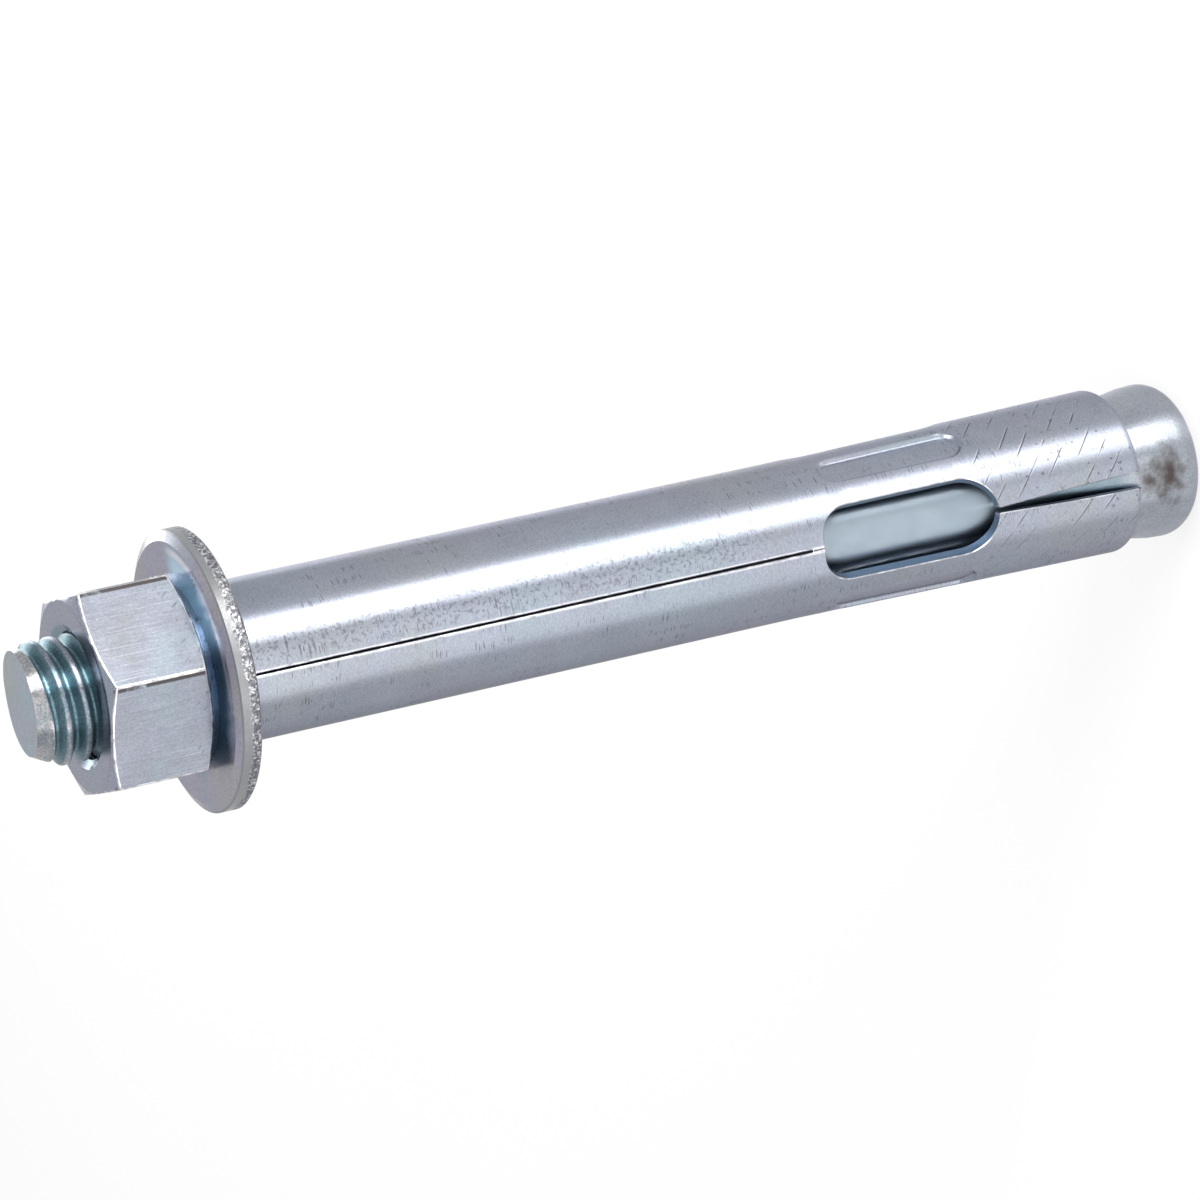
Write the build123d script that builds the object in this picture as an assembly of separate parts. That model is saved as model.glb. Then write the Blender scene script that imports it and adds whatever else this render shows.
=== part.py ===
from build123d import *
import math
import os

# A wedge-type sleeve anchor for concrete: a threaded stud with an expander cone formed on its end,
# a sleeve rolled from sheet steel around the stud, a flat washer and a hex nut.
# All sizes are millimetres. The cone's flat end stands on z = 0 and the thread points up.
# Seen from above, the sleeve's seam faces -Y.

# Whole anchor
length_under_washer = 108.0
stud_above_nut = 5.65

# Stud: the threaded end is a plain cylinder over the thread's crests, the shank is the bar it is rolled from
thread_diameter = 12.3
thread_length = 30.0
thread_run_out = 1.0
shank_diameter = 11.4
stud_end_diameter = 10.0
stud_end_bevel_angle = 62.0
stud_end_off_centre = 0.45
stud_end_off_centre_angle = 12.5

# Expander cone
cone_oversize = 0.06
cone_half_angle = 9.5
cone_corner_radius = 2.55
cone_rim = 0.05
cone_land = 1.6
cone_land_angle = 3.3

# Rolled sleeve
sleeve_diameter = 15.88
sleeve_wall = 1.2
cone_below_sleeve = 7.85
cone_seat_gap = 0.04
flare_length = 38.1
lip_radius = 1.0
top_edge_chamfer = 0.2
seam_gap = 0.26
seam_pinch_gap = 0.08
seam_pinch_length = 1.3

# Windows, slits and pressed-in dimples that shape the three petals
petal_count = 3
slit_length = 16.8
slit_gap_at_window = 0.4
slit_gap_in_middle = 1.3
slit_gap_at_end = 1.8
slit_middle_share = 0.5
window_length = 19.85
window_angle = 56.6
window_corner_radius = 3.2
dimple_from_end = 18.2
dimple_length = 16.6
dimple_width = 4.3
dimple_depth = 0.45
dimple_draft = 40.0

# Flat washer
washer_diameter = 27.8
washer_thickness = 2.4
washer_hole_clearance = 0.45
washer_rolled_edge = 0.5
washer_rolled_edge_width = 1.0
washer_back_edge = 0.25
washer_hole_edge = 0.2

# Hex nut: its corners are cut back at a low angle, and its two faces are rounded over more steeply
nut_across_flats = 19.05
nut_height = 11.15
nut_corner_cut_angle = 20.0
nut_top_edge_width = 0.3
nut_top_edge_drop = 0.15
nut_bottom_edge_width = 0.6
nut_bottom_edge_drop = 0.85
nut_turned_by = -78.0
nut_bore_clearance = 0.1
nut_mouth_margin = 0.95
nut_mouth_angle = 60.0

# How far a cutting shape runs past what it cuts
overrun = 1.0

thread_radius = thread_diameter / 2
shank_radius = shank_diameter / 2

sleeve_radius = sleeve_diameter / 2
bore_radius = sleeve_radius - sleeve_wall
cone_radius = sleeve_radius + cone_oversize
cone_slope = math.tan(math.radians(cone_half_angle))
cone_rim_top = cone_corner_radius + cone_rim
cone_land_top = cone_rim_top + cone_land
land_top_radius = cone_radius - cone_land * math.tan(math.radians(cone_land_angle))

sleeve_bottom = cone_below_sleeve
sleeve_top = length_under_washer
flare_top = sleeve_bottom + flare_length
washer_top = length_under_washer + washer_thickness
nut_top = washer_top + nut_height
stud_top = nut_top + stud_above_nut
thread_bottom = stud_top - thread_length


def cone_radius_at(height):
    """Radius of the expander cone's side at a height."""
    return land_top_radius - (height - cone_land_top) * cone_slope


flare_bore_radius = cone_radius_at(sleeve_bottom) + cone_seat_gap
flare_slope = (flare_bore_radius - bore_radius) / flare_length


def bore_radius_at(height):
    """Radius of the sleeve's bore at a height on the flare or above it."""
    return bore_radius + max(0.0, flare_top - height) * flare_slope


def outer_radius_at(height):
    """Radius of the sleeve's outside at a height on the flare or above it."""
    return bore_radius_at(height) + sleeve_wall


def turned(points):
    """A solid turned about Z from radius and height points."""
    outline = Polyline(*[(radius, 0, height) for radius, height in points], close=True)
    return revolve(make_face(outline), axis=Axis.Z)


def make_stud():
    """The stud: threaded end with an off-centre bevel, plain shank and expander cone in one piece."""
    shoulder = cone_land_top + (land_top_radius - shank_radius) / cone_slope
    stud = turned([
        (0, 0),
        (cone_radius, 0),
        (cone_radius, cone_rim_top),
        (land_top_radius, cone_land_top),
        (shank_radius, shoulder),
        (shank_radius, thread_bottom),
        (thread_radius, thread_bottom + thread_run_out),
        (thread_radius, stud_top),
        (0, stud_top),
    ])
    rim = stud.edges().filter_by(GeomType.CIRCLE).sort_by(Axis.Z)[0]
    stud = fillet(rim, cone_corner_radius)

    end_radius = stud_end_diameter / 2
    outside = thread_radius + overrun
    bevel_height = (outside - end_radius) * math.tan(math.radians(stud_end_bevel_angle))
    bevel = turned([
        (end_radius, stud_top),
        (outside, stud_top - bevel_height),
        (outside, stud_top + overrun),
        (end_radius, stud_top + overrun),
    ])
    shift = Rot(0, 0, stud_end_off_centre_angle) * Pos(stud_end_off_centre, 0, 0)
    return stud - shift * bevel


def sleeve_blank():
    """The rolled tube with its flare, before the cuts."""
    section = make_face(Polyline(
        (bore_radius, 0, sleeve_top),
        (sleeve_radius, 0, sleeve_top),
        (sleeve_radius, 0, flare_top),
        (outer_radius_at(sleeve_bottom), 0, sleeve_bottom),
        (flare_bore_radius, 0, sleeve_bottom),
        (bore_radius, 0, flare_top),
        close=True,
    ))
    top_outer = section.vertices().group_by(Axis.Z)[-1].sort_by(Axis.X)[-1]
    section = chamfer(top_outer, top_edge_chamfer)
    lip_outer = section.vertices().group_by(Axis.Z)[0].sort_by(Axis.X)[-1]
    section = fillet(lip_outer, lip_radius)
    return revolve(section, axis=Axis.Z)


def radial_prism(outline, inner_radius, outer_radius, taper=0.0):
    """An outline drawn in width and height on the -Y side, pushed inward through the wall."""
    face = Plane(origin=(0, -outer_radius, 0), x_dir=(-1, 0, 0), z_dir=(0, 1, 0)) * outline
    return extrude(face, outer_radius - inner_radius, taper=taper)


def rolled(points, distance):
    """Flat sheet points, across and up, as they lie on a plane at a distance from the axis on the -Y side."""
    sheet_radius = outer_radius_at(sleeve_bottom + slit_length)
    return [(distance * math.tan(across / sheet_radius), -distance, up) for across, up in points]


def quarter_turn(centre, radius, start_angle):
    """Flat sheet points along a quarter circle."""
    steps = 6
    angles = [math.radians(start_angle + 90 * step / steps) for step in range(steps + 1)]
    return [(centre[0] + radius * math.cos(angle), centre[1] + radius * math.sin(angle)) for angle in angles]


def window_section(distance):
    """A window's outline on a plane: round end towards the cone, squarer end above."""
    bottom = sleeve_bottom + slit_length
    top = bottom + window_length
    half_width = outer_radius_at(bottom) * math.radians(window_angle / 2)
    corner = window_corner_radius
    round_centre = (0, bottom + half_width)
    arcs = [
        quarter_turn(round_centre, half_width, 180),
        quarter_turn(round_centre, half_width, 270),
        quarter_turn((half_width - corner, top - corner), corner, 0),
        quarter_turn((corner - half_width, top - corner), corner, 90),
    ]
    arcs = [rolled(arc, distance) for arc in arcs]
    edges = [Spline(*arc) for arc in arcs]
    edges.insert(2, Line(arcs[1][-1], arcs[2][0]))
    edges.insert(4, Line(arcs[2][-1], arcs[3][0]))
    edges.append(Line(arcs[3][-1], arcs[0][0]))
    return make_face(edges)


def window_cutter():
    """A window as cut in the flat sheet: once rolled, its walls point at the axis."""
    inner = window_section(bore_radius - 2 * overrun)
    outer = window_section(outer_radius_at(sleeve_bottom) + overrun)
    return loft([inner, outer], ruled=True)


def slit_cutter():
    """The slit from a window to the sleeve's end, opened by the flare."""
    top = sleeve_bottom + slit_length + overrun
    middle = sleeve_bottom + slit_length * slit_middle_share
    bottom = sleeve_bottom - overrun
    outline = Polygon(
        (-slit_gap_at_window / 2, top),
        (-slit_gap_in_middle / 2, middle),
        (-slit_gap_at_end / 2, bottom),
        (slit_gap_at_end / 2, bottom),
        (slit_gap_in_middle / 2, middle),
        (slit_gap_at_window / 2, top),
        align=None,
    )
    return radial_prism(outline, bore_radius - overrun, outer_radius_at(sleeve_bottom) + overrun)


def seam_cutter():
    """The butt seam, which closes up just above its window."""
    window_top = sleeve_bottom + slit_length + window_length
    pinch_top = window_top + seam_pinch_length
    pinch_height = seam_pinch_length + overrun
    open_height = sleeve_top + overrun - pinch_top
    pinch = Pos(0, pinch_top - pinch_height / 2) * Rectangle(seam_pinch_gap, pinch_height)
    open_part = Pos(0, pinch_top + open_height / 2) * Rectangle(seam_gap, open_height)
    return radial_prism(pinch + open_part, bore_radius - overrun, sleeve_radius + overrun)


def flare_core(inset, on_bore):
    """A solid that fills the sleeve out to its wall, less an inset."""
    radius_at = bore_radius_at if on_bore else outer_radius_at
    bottom = sleeve_bottom
    top = flare_top + overrun
    return turned([
        (0, bottom),
        (radius_at(bottom) - inset, bottom),
        (radius_at(flare_top) - inset, flare_top),
        (radius_at(top) - inset, top),
        (0, top),
    ])


def dimple_outline(width, length):
    """A long round-ended dimple, drawn in width and height."""
    middle = sleeve_bottom + dimple_from_end + dimple_length / 2
    return Pos(0, middle) * Rot(0, 0, 90) * SlotOverall(length, width)


def dimple_recess():
    """What the press pushes in from the outside."""
    outer = outer_radius_at(sleeve_bottom + dimple_from_end)
    rise = overrun * math.tan(math.radians(dimple_draft))
    outline = dimple_outline(dimple_width + 2 * rise, dimple_length + 2 * rise)
    depth_limit = outer - 2 * dimple_depth - sleeve_wall / 2
    prism = radial_prism(outline, depth_limit, outer + overrun, taper=dimple_draft)
    return prism - flare_core(dimple_depth, on_bore=False)


def dimple_bulge():
    """The same dimple as it stands out in the bore."""
    outer = bore_radius_at(sleeve_bottom + dimple_from_end) + sleeve_wall / 2
    inner = bore_radius - 2 * dimple_depth
    prism = radial_prism(dimple_outline(dimple_width, dimple_length), inner, outer, taper=0)
    inside = flare_core(dimple_depth, on_bore=True)
    return prism - inside


def around(shape, start_angle):
    """Copies of a shape, one for each petal."""
    step = 360 / petal_count
    return [Rot(0, 0, start_angle + index * step) * shape for index in range(petal_count)]


def make_sleeve():
    """The sleeve: a rolled sheet with a seam, windows, slits and dimples, flared on the cone."""
    between = 180 / petal_count
    sleeve = sleeve_blank()
    sleeve = sleeve + around(dimple_bulge(), between)
    sleeve = sleeve - around(dimple_recess(), between)
    sleeve = sleeve - around(window_cutter(), 0)
    sleeve = sleeve - around(slit_cutter(), 0)
    return sleeve - seam_cutter()


def make_washer():
    """A stamped flat washer, its outer edge drawn down by the punch on the nut's side."""
    hole_radius = thread_radius + washer_hole_clearance
    radius = washer_diameter / 2
    bottom = length_under_washer
    return turned([
        (hole_radius + washer_hole_edge, bottom),
        (radius - washer_back_edge, bottom),
        (radius, bottom + washer_back_edge),
        (radius, washer_top - washer_rolled_edge),
        (radius - washer_rolled_edge_width, washer_top),
        (hole_radius + washer_hole_edge, washer_top),
        (hole_radius, washer_top - washer_hole_edge),
        (hole_radius, bottom + washer_hole_edge),
    ])


def make_nut():
    """A double chamfered hex nut with countersunk mouths."""
    flat_radius = nut_across_flats / 2
    outside = flat_radius / math.cos(math.radians(30)) + overrun
    corner_drop = (outside - flat_radius) * math.tan(math.radians(nut_corner_cut_angle))
    hexagon = RegularPolygon(flat_radius, side_count=6, major_radius=False)
    prism = extrude(Rot(0, 0, nut_turned_by) * hexagon, nut_height)
    envelope = turned([
        (0, 0),
        (flat_radius - nut_bottom_edge_width, 0),
        (flat_radius, nut_bottom_edge_drop),
        (outside, nut_bottom_edge_drop + corner_drop),
        (outside, nut_height - nut_top_edge_drop - corner_drop),
        (flat_radius, nut_height - nut_top_edge_drop),
        (flat_radius - nut_top_edge_width, nut_height),
        (0, nut_height),
    ])

    thread_bore_radius = thread_radius + nut_bore_clearance
    mouth_radius = thread_radius + nut_mouth_margin
    mouth_depth = (mouth_radius - thread_bore_radius) / math.tan(math.radians(nut_mouth_angle))
    bore = turned([
        (0, 0),
        (mouth_radius, 0),
        (thread_bore_radius, mouth_depth),
        (thread_bore_radius, nut_height - mouth_depth),
        (mouth_radius, nut_height),
        (0, nut_height),
    ])
    return Pos(0, 0, washer_top) * ((prism & envelope) - bore)


os.makedirs("parts", exist_ok=True)
export_step(make_stud(), "parts/stud.step")
export_step(make_sleeve(), "parts/sleeve.step")
export_step(make_washer(), "parts/washer.step")
export_step(make_nut(), "parts/nut.step")
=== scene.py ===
"""Finish, threads, camera and stage for the sleeve anchor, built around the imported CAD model."""

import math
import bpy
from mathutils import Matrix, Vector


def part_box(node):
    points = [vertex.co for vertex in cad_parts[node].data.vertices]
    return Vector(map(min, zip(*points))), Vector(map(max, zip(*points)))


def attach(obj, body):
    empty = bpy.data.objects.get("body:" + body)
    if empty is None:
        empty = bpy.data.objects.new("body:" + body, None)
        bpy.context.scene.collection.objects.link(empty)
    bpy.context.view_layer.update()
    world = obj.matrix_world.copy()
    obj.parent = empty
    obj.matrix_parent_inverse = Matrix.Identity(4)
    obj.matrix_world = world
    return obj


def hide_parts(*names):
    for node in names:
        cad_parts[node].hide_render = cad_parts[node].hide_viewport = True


bl_info = {
    "name": "Sleeve Anchor",
    "version": (1, 1, 0),
    "blender": (4, 5, 0),
    "location": "3D View > Sidebar > Sleeve Anchor",
    "description": "Threads and finishes a zinc plated sleeve anchor and sets a plain stage around it",
    "category": "Object",
}

import bmesh
import bpy
from bpy.props import FloatProperty, FloatVectorProperty, IntProperty, PointerProperty
from mathutils import Matrix, Vector

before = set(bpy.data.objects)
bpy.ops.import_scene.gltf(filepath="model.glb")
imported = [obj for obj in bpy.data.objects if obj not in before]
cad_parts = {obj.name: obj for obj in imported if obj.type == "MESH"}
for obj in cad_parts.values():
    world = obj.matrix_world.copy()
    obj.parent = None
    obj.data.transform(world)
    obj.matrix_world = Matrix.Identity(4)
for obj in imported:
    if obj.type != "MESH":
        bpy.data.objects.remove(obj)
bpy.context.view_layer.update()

# The camera's direction from the anchor, in degrees from +X
VIEWER_TURN = -77.5

# Dirt on the cone, and clusters of tall marks on the sleeve: where each one's middle is and its size
CONE_SMUDGES = (
    {"X": -0.0003, "Y": -0.0080, "Z": 0.0044, "Size": 0.0042, "Flatness": 1.7},
    {"X": -0.0007, "Y": -0.0080, "Z": 0.0067, "Size": 0.0028, "Flatness": 1.7},
)
TICK_CLUSTERS = (
    {"X": 0.0023, "Y": -0.0076, "Z": 0.101, "Size": 0.004},
    {"X": 0.0023, "Y": -0.0076, "Z": 0.080, "Size": 0.004},
    {"X": 0.0028, "Y": -0.0074, "Z": 0.072, "Size": 0.003},
)

# Painted shade under the nut's ridges, and a painted highlight streak on the washer
NUT_CORNER_ARC = math.radians(12.0)
SHADE_BELOW_RIDGE = 0.00032
HIGHLIGHT_STREAK_RADIUS = 0.0121

# How near, flat or steep something has to be to count as joined, flat, a wall or round
MERGE_DISTANCE = 1e-6
RIM_TOLERANCE = 1e-5
FLAT_ANGLE = math.radians(0.5)
END_FACE_TILT = 0.99
WALL_TURN = 0.3
BORE_REACH = 0.0075
ROUND_FACE_TURN = 0.96

# Places on the solids
STUD_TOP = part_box("stud")[1].z
NUT_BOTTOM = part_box("nut")[0].z
NUT_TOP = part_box("nut")[1].z
SLEEVE_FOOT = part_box("sleeve")[0].z
WASHER_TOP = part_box("washer")[1].z
WASHER_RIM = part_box("washer")[1].x


def number(name, description, default, **kind):
    """A value that a user can change."""
    return FloatProperty(name=name, description=description, default=default, **kind)


def length(name, description, default):
    """A length that a user can change."""
    return number(name, description, default, unit="LENGTH", precision=5)


def share(name, description, default):
    """A share between none and all that a user can change."""
    return number(name, description, default, subtype="FACTOR", min=0.0, max=1.0)


def vector(name, description, default, **kind):
    """A place, a direction or a colour that a user can change."""
    return FloatVectorProperty(name=name, description=description, default=default, **kind)


def color(name, description, default):
    """A colour that a user can change."""
    return vector(name, description, default, subtype="COLOR", min=0.0, max=1.0)


class AnchorView(bpy.types.PropertyGroup):
    """Where the camera stands."""

    place: vector("Camera place", "Where the lens is", (0.10586, -0.47750, 0.27783), subtype="TRANSLATION")
    aim: vector("Camera aim", "A point in mid-picture", (0.00166, -0.01581, 0.07305), subtype="TRANSLATION")
    up: vector(
        "Camera up", "The direction that points up in the picture", (0.97119, 0.13081, -0.19924),
        subtype="DIRECTION",
    )
    lens: number("Lens", "Focal length on a 36 mm wide sensor", 161.25, unit="CAMERA")


class AnchorStage(bpy.types.PropertyGroup):
    """The floor and the light."""

    floor_width: length("Floor width", "Side of the square floor", 12.0)
    floor_color: color("Floor colour", "Colour of the pale floor", (0.86, 0.86, 0.86))
    floor_glow: share("Floor glow", "Share of plain white that camera and reflections see in the floor", 0.75)
    sky_color: color("Sky colour", "Colour of the light all round", (0.97, 0.98, 1.0))
    sky_strength: number("Sky strength", "Brightness of the light all round", 0.8)
    lamp_color: color("Lamp colour", "Colour of the lamps", (1.0, 0.975, 0.95))
    lamp_distance: length("Lamp distance", "From the anchor's axis to each lamp", 0.5)
    lamp_height: length("Lamp height", "Height of the middle of each lamp", 0.16)
    lamp_length: length("Lamp length", "Upright side of each lamp", 0.3)
    key_power: number("Key lamp", "Power of the lamp that draws the bright line", 3.7, unit="POWER")
    key_turn: number("Key turn", "Turn of the key lamp from the viewer, in degrees", 36.5)
    key_width: length("Key width", "Width of the key lamp", 0.26)
    fill_power: number("Fill lamp", "Power of the broad weak lamp beside the viewer", 1.9, unit="POWER")
    fill_turn: number("Fill turn", "Turn of the fill lamp from the viewer, in degrees", -28.0)
    fill_width: length("Fill width", "Width of the fill lamp", 0.7)
    rim_power: number("Rim lamp", "Power of the lamp behind the anchor", 1.1, unit="POWER")
    rim_turn: number("Rim turn", "Turn of the rim lamp from the viewer, in degrees", 150.0)
    rim_width: length("Rim width", "Width of the rim lamp", 0.3)


class AnchorThread(bpy.types.PropertyGroup):
    """The screw thread of the stud and the nut."""

    pitch: length("Pitch", "Height of one turn", 0.001954)
    crest_radius: length("Crest radius", "Half the thread's outer diameter", 0.00615)
    depth: length("Depth", "From a crest to the bottom of a groove", 0.001)
    crest_share: share("Crest share", "Part of the pitch that the crest takes", 0.24)
    groove_share: share("Groove share", "Part of the pitch that the groove's bottom takes", 0.17)
    rounding: length("Rounding", "How far the crest's and groove's corners are rounded", 0.00012)
    crest_turn: number("Crest turn", "Direction of the crest at the anchor's foot, in degrees", 28.0)
    lowest: length("Lowest", "Height at which the thread runs out", 0.0972)
    run_out: length("Run-out", "Height over which the thread fades", 0.001)
    shank_radius: length("Shank radius", "Radius of the stud under the thread", 0.0057)
    end_radius: length("End radius", "Radius of the stud's flat end", 0.005)
    end_bevel: number("End bevel", "Slope of the bevel round the end, in degrees", 62.0)
    end_offset: length("End offset", "How far the end's bevel is off the axis", 0.00045)
    end_offset_turn: number("End offset turn", "Direction of that offset, in degrees", 12.5)
    end_tilt: number("End tilt", "How far the end is cut out of square, in degrees", 3.5)
    nut_clearance: length("Nut clearance", "Gap between the stud's and the nut's threads", 0.0001)
    mouth_radius: length("Mouth radius", "Radius of the nut's bore at its faces", 0.0071)
    mouth_slope: number("Mouth slope", "Slope of the nut's mouth from its face, in degrees", 60.0)
    steps: IntProperty(name="Steps", description="Sides in one turn of the thread", default=120)


class AnchorPlating(bpy.types.PropertyGroup):
    """Colours of the zinc plating, and colours painted as shade, reflection and highlights."""

    sleeve_color: color("Sleeve", "Sleeve seen face on", (0.35, 0.39, 0.44))
    stud_color: color("Stud", "Stud seen face on", (0.33, 0.36, 0.40))
    thread_color: color("Thread", "Thread flanks and grooves", (0.17, 0.28, 0.33))
    end_color: color("Stud ends", "The stud's flat ends", (0.45, 0.56, 0.53))
    washer_color: color("Washer", "Washer seen face on", (0.42, 0.42, 0.46))
    # Painted shade and reflection: the washer's face beside the nut is painted dark blue there, and pale blue
    # higher in the picture
    nut_shade_color: color("Blued face", "The washer's face close to the nut", (0.10, 0.20, 0.28))
    pale_reflection_color: color("Pale blue face", "The blued face higher in the picture", (0.60, 0.85, 1.00))
    # Painted shade: dark blue on the sleeve's cut walls and bore, where the gaps lie in shade
    wall_color: color("Cut walls", "The sleeve's cut walls and bore", (0.11, 0.17, 0.26))
    # Painted shade: a bluish tone on the stud where the sleeve covers it, also the edge tone of the sleeve's
    # painted-shade walls
    hidden_color: color("Covered stud", "The stud's surface under the sleeve", (0.32, 0.38, 0.44))
    # Painted shade: dark teal on the cone seen through the sleeve's slits
    slit_color: color("Cone in the slits", "Oily cone behind the sleeve's slits", (0.12, 0.20, 0.24))
    nut_color: color("Nut", "Nut seen face on", (0.345, 0.38, 0.425))
    edge_color: color("Edge tint", "Plating seen along its surface", (0.40, 0.41, 0.48))
    # Dark dirt on the cone and the nut's thread, and also painted shade under the nut's ridges
    dirt_color: color("Dirt", "Oily dirt in corners", (0.06, 0.045, 0.04))
    mark_color: color("Marks", "Dark marks where the plating is rubbed", (0.10, 0.10, 0.12))
    rim_color: color("Washer rim", "The smooth part of the washer's rim", (0.26, 0.275, 0.28))
    bevel_color: color("End bevel", "The bevel round the stud's end", (0.62, 0.60, 0.61))
    # Bright metal: edges and scratches rubbed bright, and also the painted highlights along the seam, beside
    # the rub lines, on the washer and on the rounded edges
    bright_color: color("Bright metal", "Steel and zinc rubbed bright", (0.80, 0.80, 0.84))


class Wiring:
    """Adds nodes to one node tree. An input takes a number, a colour or another node's socket."""

    def __init__(self, tree):
        self.tree = tree

    def put(self, socket, value):
        if isinstance(value, bpy.types.NodeSocket):
            self.tree.links.new(value, socket)
        elif socket.type == "RGBA" and len(value) == 3:
            socket.default_value = (*value, 1.0)
        else:
            socket.default_value = value

    def node(self, kind, inputs=None, **settings):
        node = self.tree.nodes.new("ShaderNode" + kind)
        for name, value in settings.items():
            setattr(node, name, value)
        for name, value in (inputs or {}).items():
            self.put(node.inputs[name], value)
        return node

    def group(self, name, **inputs):
        return self.node("Group", inputs, node_tree=bpy.data.node_groups[name]).outputs

    def math(self, operation, *values):
        node = self.node("Math", operation=operation)
        for socket, value in zip(node.inputs, values):
            self.put(socket, value)
        return node.outputs[0]

    def times(self, first, *others):
        for other in others:
            first = self.math("MULTIPLY", first, other)
        return first

    def plus(self, first, second):
        return self.math("ADD", first, second)

    def minus(self, first, second):
        return self.math("SUBTRACT", first, second)

    def over(self, first, second):
        return self.math("DIVIDE", first, second)

    def line(self, value, slope, start):
        """A straight line: the value times the slope, from the start."""
        return self.math("MULTIPLY_ADD", value, slope, start)

    def mix(self, factor, first, second, blend_type="MIX"):
        node = self.node("Mix", data_type="RGBA", blend_type=blend_type)
        for name, value in (("Factor", factor), ("A", first), ("B", second)):
            self.put(node.inputs[name], value)
        return node.outputs["Result"]

    def step(self, value, low, high, bottom=0.0, top=1.0):
        """A smooth step from bottom to top as the value goes from low to high."""
        inputs = {"Value": value, "From Min": low, "From Max": high, "To Min": bottom, "To Max": top}
        return self.node("MapRange", inputs, interpolation_type="SMOOTHSTEP").outputs["Result"]

    def rise(self, value, none, full):
        """A mask that comes in as the value grows from none to full."""
        return self.step(value, none, full)

    def fade(self, value, full, none):
        """A mask that goes out as the value grows from full to none."""
        return self.step(value, full, none, 1.0, 0.0)

    def noise(self, vector, scale, detail=3.0, roughness=0.55):
        inputs = {"Vector": vector, "Scale": scale, "Detail": detail, "Roughness": roughness}
        return self.node("TexNoise", inputs).outputs["Fac"]

    def patches(self, scale, none, full, detail=1.0, roughness=0.55):
        """A mask of random patches over the piece."""
        return self.rise(self.noise(self.place(), scale, detail, roughness), none, full)

    def place(self):
        return self.node("TexCoord").outputs["Object"]

    def parts(self, vector):
        return self.node("SeparateXYZ", {"Vector": vector}).outputs

    def vector(self, x, y, z=0.0):
        return self.node("CombineXYZ", {"X": x, "Y": y, "Z": z}).outputs["Vector"]

    def length(self, vector):
        return self.node("VectorMath", {0: vector}, operation="LENGTH").outputs["Value"]

    def round_place(self):
        """Arc in radians from the side away from the seam, height and distance from the axis."""
        x, y, z = self.parts(self.place())
        return self.math("ARCTAN2", self.times(x, -1.0), y), z, self.length(self.vector(x, y))


def start_group(name, inputs, outputs):
    """An empty shader node group with named sockets, and its wiring, input and output nodes."""
    tree = bpy.data.node_groups.new(name, "ShaderNodeTree")
    for label, value in inputs.items():
        is_color = isinstance(value, tuple)
        kind = "NodeSocketColor" if is_color else "NodeSocketFloat"
        socket = tree.interface.new_socket(name=label, in_out="INPUT", socket_type=kind)
        socket.default_value = (*value, 1.0) if is_color else value
    for label in outputs:
        kind = "NodeSocketColor" if label == "Color" else "NodeSocketFloat"
        tree.interface.new_socket(name=label, in_out="OUTPUT", socket_type=kind)
    given = tree.nodes.new("NodeGroupInput").outputs
    result = tree.nodes.new("NodeGroupOutput").inputs
    return Wiring(tree), given, result


def make_grain_group():
    """Fine satin grain over broad cloudy patches, as bright zinc plate has."""
    wiring, given, result = start_group(
        "Satin Grain", {"Grain": 0.0002, "Patch": 0.004, "Stretch": 1.0}, ("Shade", "Patches", "Height"),
    )
    x, y, z = wiring.parts(wiring.place())
    stretched = wiring.vector(x, y, wiring.times(z, given["Stretch"]))
    fine = wiring.noise(stretched, wiring.over(1.0, given["Grain"]), detail=2.0)
    patches = wiring.noise(wiring.place(), wiring.over(1.0, given["Patch"]))
    wiring.put(result["Shade"], wiring.rise(fine, none=0.25, full=0.75))
    wiring.put(result["Patches"], wiring.rise(patches, none=0.35, full=0.65))
    wiring.put(result["Height"], fine)


def slanted_place(wiring, slant, surface_radius):
    """Distances along and across lines that slant on a round surface."""
    arc, height, _ = wiring.round_place()
    around = wiring.times(arc, surface_radius)
    cosine = wiring.math("COSINE", slant)
    sine = wiring.math("SINE", slant)
    along = wiring.minus(wiring.times(around, cosine), wiring.times(height, sine))
    across = wiring.plus(wiring.times(around, sine), wiring.times(height, cosine))
    return along, across


def make_tick_group():
    """Short scratches on a round surface, each in its own place and length."""
    wiring, given, result = start_group(
        "Round Ticks",
        {"Length": 0.002, "Width": 0.0003, "Slant": 0.0, "Share": 0.3, "Radius": 0.0079, "Seed": 0.0},
        ("Mask",),
    )
    along, across = slanted_place(wiring, given["Slant"], given["Radius"])
    cell = wiring.vector(
        wiring.plus(wiring.over(along, given["Length"]), given["Seed"]), wiring.over(across, given["Width"]),
    )
    ticks = wiring.node(
        "TexVoronoi", {"Vector": cell, "Scale": 1.0, "Randomness": 1.0}, voronoi_dimensions="2D",
    ).outputs
    chance, _, size = wiring.parts(ticks["Color"])
    there = wiring.math("LESS_THAN", chance, given["Share"])
    edge = wiring.line(size, slope=0.3, start=0.15)
    mark = wiring.fade(ticks["Distance"], full=wiring.times(edge, 0.4), none=edge)
    wiring.put(result["Mask"], wiring.times(mark, there))


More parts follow.
